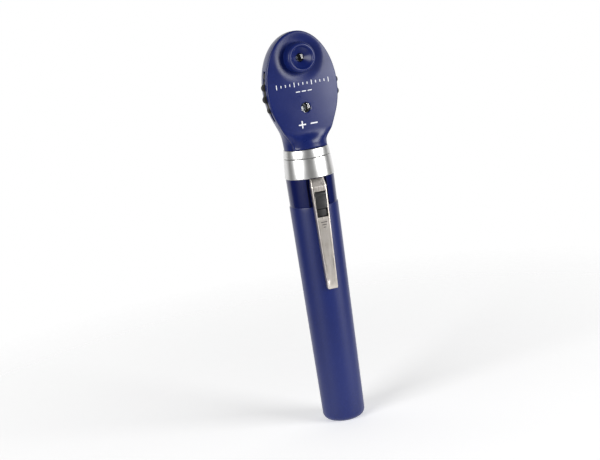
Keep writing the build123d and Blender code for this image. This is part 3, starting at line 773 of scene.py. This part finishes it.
def cut_away(obj, cutter):
    """Cut one object out of another for good."""
    cut = obj.modifiers.new("cut", "BOOLEAN")
    cut.operation = "DIFFERENCE"
    cut.solver = "EXACT"
    cut.object = cutter
    apply_modifiers(obj)
    bpy.data.objects.remove(cutter, do_unlink=True)


def cut_round(obj, profile, centre, segments):
    """Cut a shape turned about Y out of an object."""
    cut_away(obj, lathe("cutter", profile, NAVY, None, "navy_plastic", "Y", centre, segments))


def back_shell():
    """The patient's side: a domed housing with its window, slot and screw seats."""
    round_in, depth, seam_gap, first_turn = 6.0, BACK_FACE - SEAM, 0.12, 0.012
    rows = [(seam_gap, SEAM + 0.03)]
    for angle in [first_turn] + spread(0.0, math.pi / 2, 18)[1:]:
        rows.append((round_in * (1 - math.cos(angle)), SEAM + depth * math.sin(angle)))
    verts, faces, rings = [], [], []
    for inset, y in rows:
        outline = housing_outline(inset)
        rings.append(index_ring(len(verts), len(outline)))
        verts.extend(into_neck(x, y, z) for x, z in outline)
    for lower, upper in zip(rings, rings[1:]):
        for i in range(len(lower) - 1):
            faces.append((lower[i], lower[i + 1], upper[i + 1], upper[i]))
    edge = housing_outline(round_in)
    bottom = [(x, SHELL_LOW) for x in spread(edge[-1][0], edge[0][0], 9)[1:-1]]
    slot_half = math.sqrt((APERTURE_R + 0.35) ** 2 - (BACK_FACE - APERTURE_Y) ** 2)
    slot = rounded([(a * slot_half, APERTURE_Z + b * 1.15, 0.4) for a, b in CORNERS])
    flat, triangles, loops = flat_mesh(edge + bottom, [circle(0, EXIT_Z, EXIT_R, 72), slot], 0.95)
    place = dict(zip(loops[0], rings[-1]))
    for index, (x, z) in enumerate(flat):
        if index not in place:
            place[index] = len(verts)
            verts.append(into_neck(x, BACK_FACE, z))
    faces += [tuple(place[i] for i in face) for face in triangles]
    seat = index_ring(len(verts), len(loops[1]))
    verts.extend((x, BACK_FACE - 1.1, z) for x, z in circle(0, EXIT_Z, EXIT_SEAT_R, len(loops[1])))
    bridge(faces, [place[i] for i in loops[1]], seat)
    obj = make("head_back_shell", verts, faces, NAVY, None, "navy_plastic", ["back_shell"], sharp=38.0)
    outward = sum(p.normal.y for p in obj.data.polygons if p.center.y > (BACK_FACE - 0.5) * MM)
    if outward < 0:
        obj.data.flip_normals()
    wall = obj.modifiers.new("wall", "SOLIDIFY")
    wall.thickness = WALL * MM
    wall.offset = -1.0
    apply_modifiers(obj)
    near, far, low, high = 12.0, WHEEL_R + 0.4, SEAM - 1.0, WHEEL_BACK + 0.12
    cut_round(obj, [(near, low), (far, low), (far, high), (near, high)], (0, 0, WHEEL_Z), 180)
    for x, z, floor in SCREWS:
        low, high = floor - 0.02, BACK_FACE + 1.0
        cut_round(obj, [(0.0, low), (SCREW_SEAT_R, low), (SCREW_SEAT_R, high), (0.0, high)], (x, 0, z), 40)
    shade(obj, 38.0)
    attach(obj, "head")


def screws():
    """Three small cross-headed screws, sunk into the housing."""
    head_r, sunk, thick, crown = 1.22, 0.25, 1.0, 0.08
    slot_long, slot_wide, slot_deep = 0.85, 0.16, 0.45
    for k, (x, z, floor) in enumerate(SCREWS):
        face = floor + sunk
        outline = rounded([(0.0, face - thick, 0), (head_r, face - thick, 0.15), (head_r, face, 0.3),
                           (0.0, face + crown, 0)])
        screw = lathe(f"shell_screw_{k + 1}", outline, STEEL, None, "steel", "Y", (x, 0, z), 48)
        for wide, tall in ((slot_long, slot_wide), (slot_wide, slot_long)):
            ends = [[(x + a * wide, y, z + b * tall) for a, b in CORNERS]
                    for y in (face - slot_deep, face + 0.5)]
            cut_away(screw, make("cutter", *solid_between(*ends), STEEL, None, "steel"))
        shade(screw, 35.0)
        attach(screw, "head")
    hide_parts("shell_screws")


def eye_ring():
    """The brow rest: a full round rim, a dish down to the sight hole, and a flared foot."""
    crest, foot, plate_back, sight_back = -11.2, -6.2, FRONT_FACE + FRONT_WALL - 0.05, -8.2
    stem = RING_HOLE_R - 0.05
    corners = [(SIGHT_R, -8.45, 0.12), (4.15, -10.3, 0.5), (4.75, crest, 0.55), (5.6, crest, 0.75),
               (6.25, -9.9, 0.9), (6.4, -6.9, 0.3), (6.6, foot, 0), (stem, foot, 0), (stem, plate_back, 0),
               (2.0, plate_back, 0), (2.0, sight_back, 0), (SIGHT_R, sight_back, 0)]
    lathe("brow_ring", rounded(corners, steps=6), NAVY, "head", "navy_plastic", "Y", (0, 0, SIGHT_Z), 160,
          replaces=["eye_ring"], sharp=35.0)


def lens_blank(name, radius, front, edge_front, back, centre_z, replaces, material):
    """A glass disc with a domed front face, turned about Y."""
    angles = spread(0.0, math.pi / 2, 10)
    profile = [(radius * math.sin(a), lerp(edge_front, front, math.cos(a))) for a in angles]
    profile += [(radius, back), (0.0, back)]
    lathe(name, profile, material, "head", "clear_glass", "Y", (0, 0, centre_z), 72, replaces=replaces,
          sharp=40.0)


def wheel_rim():
    """The rubber rim: twenty rounded lobes with softened edges."""
    per_lobe, lobe_r, valley_depth, edge = 22, 1.65, 1.05, 0.35
    lobe_centre, valley = WHEEL_R - lobe_r, WHEEL_R - valley_depth
    pitch, count = 2 * math.pi / STATIONS, STATIONS * per_lobe
    quarter = spread(0, math.pi / 2, 4)
    rows = [(edge * (1 - math.sin(a)), WHEEL_FRONT + edge * (1 - math.cos(a))) for a in quarter]
    rows += [(edge * (1 - math.cos(a)), WHEEL_BACK - edge * (1 - math.sin(a))) for a in quarter]

    def outer(angle):
        off = (angle - LOBE_TURN * pitch + pitch / 2) % pitch - pitch / 2
        sagitta = lobe_r ** 2 - (lobe_centre * math.sin(off)) ** 2
        lobe = lobe_centre * math.cos(off) + math.sqrt(sagitta) if sagitta > 0 else 0.0
        return valley + softplus(lobe - valley, 0.12) - 0.01

    angles = [2 * math.pi * i / count for i in range(count)]
    rings = [[(WHEEL_DISC_R, WHEEL_FRONT)] * count]
    rings += [[(outer(a) - inset, y) for a in angles] for inset, y in rows]
    rings += [[(WHEEL_DISC_R, WHEEL_BACK)] * count]
    verts = [(r * math.sin(a), y, WHEEL_Z + r * math.cos(a))
             for ring in rings for (r, y), a in zip(ring, angles)]
    make("lens_wheel_rim", verts, skin(len(rings), count, True), RUBBER, "lens_wheel", "black_rubber",
         ["wheel_rim"], sharp=40.0)


# ---- print: plain generic marks --------------------------------------------------------
def raised(name, outline, lift=0.03):
    """A thin printed patch that follows the front plate."""
    verts, faces = solid_between(*([(x, plate_y(x, z) + d, z) for x, z in outline] for d in (-lift, lift)))
    make(name, verts, faces, WHITE, "head", "number_card")


def bar(x, z, half_x, half_z):
    """A small bar with rounded ends."""
    radius = 0.9 * min(half_x, half_z)
    return rounded([(x + a * half_x, z + b * half_z, radius) for a, b in CORNERS], steps=3)


def plate_marks():
    """A row of ticks over three dashes where a name would be, and a plus and a minus by the window."""
    row_z, dash_z, sign_z = 146.0, 142.9, 129.3
    first, pitch, long_every, tick_half = -11.4, 1.9, 4, 0.17
    for i in range(13):
        tall = 0.55 if i % long_every else 1.0
        raised(f"scale_mark_{i + 1}", bar(first + pitch * i, row_z, tick_half, tall))
    for i, x in enumerate((-2.6, 0.0, 2.6)):
        raised(f"scale_dash_{i + 1}", bar(x, dash_z, 0.95, 0.2))
    sign_x, arm, thick = 2.6, 1.6, 0.28
    raised("plus_bar_across", bar(-sign_x, sign_z, arm, thick))
    raised("plus_bar_up", bar(-sign_x, sign_z, thick, arm), 0.032)
    raised("minus_bar", bar(sign_x, sign_z, arm, thick))


def dial_numbers():
    """The lens powers on the wheel, one opposite each station."""
    powers = [0, 1, 2, 3, 4, 6, 8, 10, 15, 20, 40, 20, 15, 10, 8, 6, 4, 3, 2, 1]
    ring_r, size, thickness, proud = 7.4, 2.3, 0.02, 0.17
    hub = Matrix.Translation(Vector((0, WHEEL_FRONT - proud, WHEEL_Z)) * MM)
    stand = Matrix.Translation(Vector((0, 0, -ring_r)) * MM) @ Matrix.Rotation(math.pi / 2, 4, "X")
    for i, power in enumerate(powers):
        curve = bpy.data.curves.new(f"dial_number_{i + 1}", "FONT")
        curve.body = str(power)
        curve.size = size * MM
        curve.align_x, curve.align_y = "CENTER", "CENTER"
        curve.extrude = thickness * MM
        letters = bpy.data.objects.new("letters", curve)
        bpy.context.scene.collection.objects.link(letters)
        bpy.context.view_layer.update()
        mesh = bpy.data.meshes.new_from_object(letters.evaluated_get(bpy.context.evaluated_depsgraph_get()))
        mesh.transform(hub @ Matrix.Rotation(2 * math.pi * i / STATIONS, 4, "Y") @ stand)
        bpy.data.objects.remove(letters, do_unlink=True)
        number = bpy.data.objects.new(f"dial_number_{i + 1}", mesh)
        bpy.context.scene.collection.objects.link(number)
        mesh.materials.clear()
        mesh.materials.append(WHITE)
        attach(number, "lens_wheel")


# ---- camera, light and floor -----------------------------------------------------------
def camera():
    """The view: turned to the object's left, a little above, and rolled so that it leans left."""
    turn, rise, roll = math.radians(20.0), math.radians(8.3), math.radians(-8.3)
    distance, aim = 500.0, Vector((0, 0, 107.0))
    lens, sensor = 71.25, 36.0
    right_of_centre, above_centre = 0.01607, 0.0910      # where the aim lands, in frame widths
    away = Vector((-math.sin(turn) * math.cos(rise), -math.cos(turn) * math.cos(rise), math.sin(rise)))
    forward = -away
    level = forward.cross(Vector((0, 0, 1))).normalized()
    above = level.cross(forward)
    right = level * math.cos(roll) + above * math.sin(roll)
    up = above * math.cos(roll) - level * math.sin(roll)
    basis = Matrix((right, up, -forward)).transposed()
    seen = Vector((right_of_centre * sensor / lens, above_centre * sensor / lens, -1.0)).normalized()
    swing = Vector((0, 0, -1)).rotation_difference(seen).to_matrix()
    turned = basis @ swing.transposed()
    data = bpy.data.cameras.new("camera")
    data.lens, data.sensor_width = lens, sensor
    data.clip_start, data.clip_end = 0.01, 50.0
    obj = bpy.data.objects.new("camera", data)
    obj.matrix_world = Matrix.Translation((aim + away * distance) * MM) @ turned.to_4x4()
    bpy.context.scene.collection.objects.link(obj)
    bpy.context.scene.camera = obj


def area_light(name, azimuth, elevation, power, width):
    """A soft tall light at an azimuth (0 is the examiner's side) and a height in degrees."""
    distance, height, target = 0.9, 0.62, Vector((0, 0, 0.1))
    a, e = math.radians(azimuth), math.radians(elevation)
    away = Vector((math.sin(a) * math.cos(e), -math.cos(a) * math.cos(e), math.sin(e)))
    data = bpy.data.lights.new(name, "AREA")
    data.shape = "RECTANGLE"
    data.size, data.size_y = width, height
    data.energy = power
    obj = bpy.data.objects.new(name, data)
    obj.location = target + away * distance
    obj.rotation_mode = "QUATERNION"
    obj.rotation_quaternion = (-away).to_track_quat("-Z", "Y")
    bpy.context.scene.collection.objects.link(obj)


def round_light(nodes, links):
    """The room's brightness by azimuth, and its fall towards the top and the bottom."""
    stops = ((-180, 1.0), (-140, 0.95), (-124, 0.06), (-104, 0.06), (-88, 0.30), (-45, 0.25), (-20, 0.10),
             (10, 0.10), (60, 0.25), (76, 0.06), (96, 0.06), (118, 0.95), (180, 1.0))

    def maths(operation, value):
        node = nodes.new("ShaderNodeMath")
        node.operation = operation
        links.new(value, node.inputs[0])
        return node

    def ranged(value, low, high, to_low, to_high):
        node = nodes.new("ShaderNodeMapRange")
        for key, limit in (("From Min", low), ("From Max", high), ("To Min", to_low), ("To Max", to_high)):
            node.inputs[key].default_value = limit
        links.new(value, node.inputs["Value"])
        return node.outputs["Result"]

    parts = nodes.new("ShaderNodeSeparateXYZ")
    links.new(nodes.new("ShaderNodeTexCoord").outputs["Generated"], parts.inputs["Vector"])
    towards_front = maths("MULTIPLY", parts.outputs["Y"])
    towards_front.inputs[1].default_value = -1.0
    azimuth = maths("ARCTAN2", parts.outputs["X"])
    links.new(towards_front.outputs["Value"], azimuth.inputs[1])
    ramp = nodes.new("ShaderNodeValToRGB")
    ramp.color_ramp.interpolation = "EASE"
    marks = ramp.color_ramp.elements
    while len(marks) < len(stops):
        marks.new(0.5)
    for mark, (degrees, brightness) in zip(marks, stops):
        mark.position = (degrees + 180) / 360
        mark.color = (brightness, brightness, brightness, 1)
    links.new(ranged(azimuth.outputs["Value"], -math.pi, math.pi, 0.0, 1.0), ramp.inputs["Fac"])
    height = maths("ABSOLUTE", parts.outputs["Z"])
    return ramp.outputs["Color"], ranged(height.outputs["Value"], 0.35, 0.75, 1.0, 0.15)


def fading_floor():
    """A pale floor that fades out into the white room a good way off."""
    fade_start, fade_end = 0.05, 0.30
    m = Material("pale_floor", (0.92, 0.92, 0.92), 0.8, Emission_Color=(1, 1, 1, 1), Emission_Strength=0.38)
    m.vary_colour(m.noise(0.01, 3.0), (0.905, 0.905, 0.91))
    distance = m.nodes.new("ShaderNodeVectorMath")
    distance.operation = "LENGTH"
    m.links.new(m.place.outputs["Object"], distance.inputs[0])
    clear = m.nodes.new("ShaderNodeBsdfTransparent")
    mix = m.nodes.new("ShaderNodeMixShader")
    m.links.new(m.between(distance.outputs["Value"], 0.0, 1.0, fade_start, fade_end), mix.inputs["Fac"])
    m.links.new(m.shader.outputs["BSDF"], mix.inputs[1])
    m.links.new(clear.outputs["BSDF"], mix.inputs[2])
    m.links.new(mix.outputs["Shader"], m.nodes["Material Output"].inputs["Surface"])
    return m.made


def studio():
    """A pale room, two tall soft lights in front, and a pale floor."""
    world = bpy.data.worlds.new("studio")
    bpy.context.scene.world = world
    world.use_nodes = True
    nodes, links = world.node_tree.nodes, world.node_tree.links
    room = nodes["Background"]
    colour, strength = round_light(nodes, links)
    links.new(colour, room.inputs["Color"])
    links.new(strength, room.inputs["Strength"])
    seen = nodes.new("ShaderNodeBackground")
    seen.inputs["Color"].default_value = (1.0, 1.0, 1.0, 1)
    path = nodes.new("ShaderNodeLightPath")
    mix = nodes.new("ShaderNodeMixShader")
    links.new(path.outputs["Is Camera Ray"], mix.inputs["Fac"])
    links.new(room.outputs["Background"], mix.inputs[1])
    links.new(seen.outputs["Background"], mix.inputs[2])
    links.new(mix.outputs["Shader"], nodes["World Output"].inputs["Surface"])
    area_light("left_light", -66, 14, 6.6, 0.50)
    area_light("right_light", 42.5, 9, 8.6, 0.50)
    mesh = bpy.data.meshes.new("floor")
    mesh.from_pydata([(a, b, 0) for a, b in CORNERS], [], [(0, 1, 2, 3)])
    mesh.materials.append(fading_floor())
    floor = bpy.data.objects.new("floor", mesh)
    bpy.context.scene.collection.objects.link(floor)
    bpy.context.scene.view_settings.view_transform = "Standard"


camera()
studio()
handle()
collar()
head_thread()
contact_spring()
clip()
clip_marks()
switch()
front_shell()
back_shell()
screws()
eye_ring()
# the sight window is tinted dark as painted shade of the dark hollow behind it
lens_blank("sight_window", 1.75, -8.75, -8.3, -7.6, SIGHT_Z, ["sight_glass"], SHADE_DARKENED_GLASS)
lens_blank("dial_magnifier", WINDOW_R - 0.03, -7.55, -7.15, -6.0, WINDOW_Z, ["window_lens"], GLASS)
wheel_rim()
plate_marks()
dial_numbers()
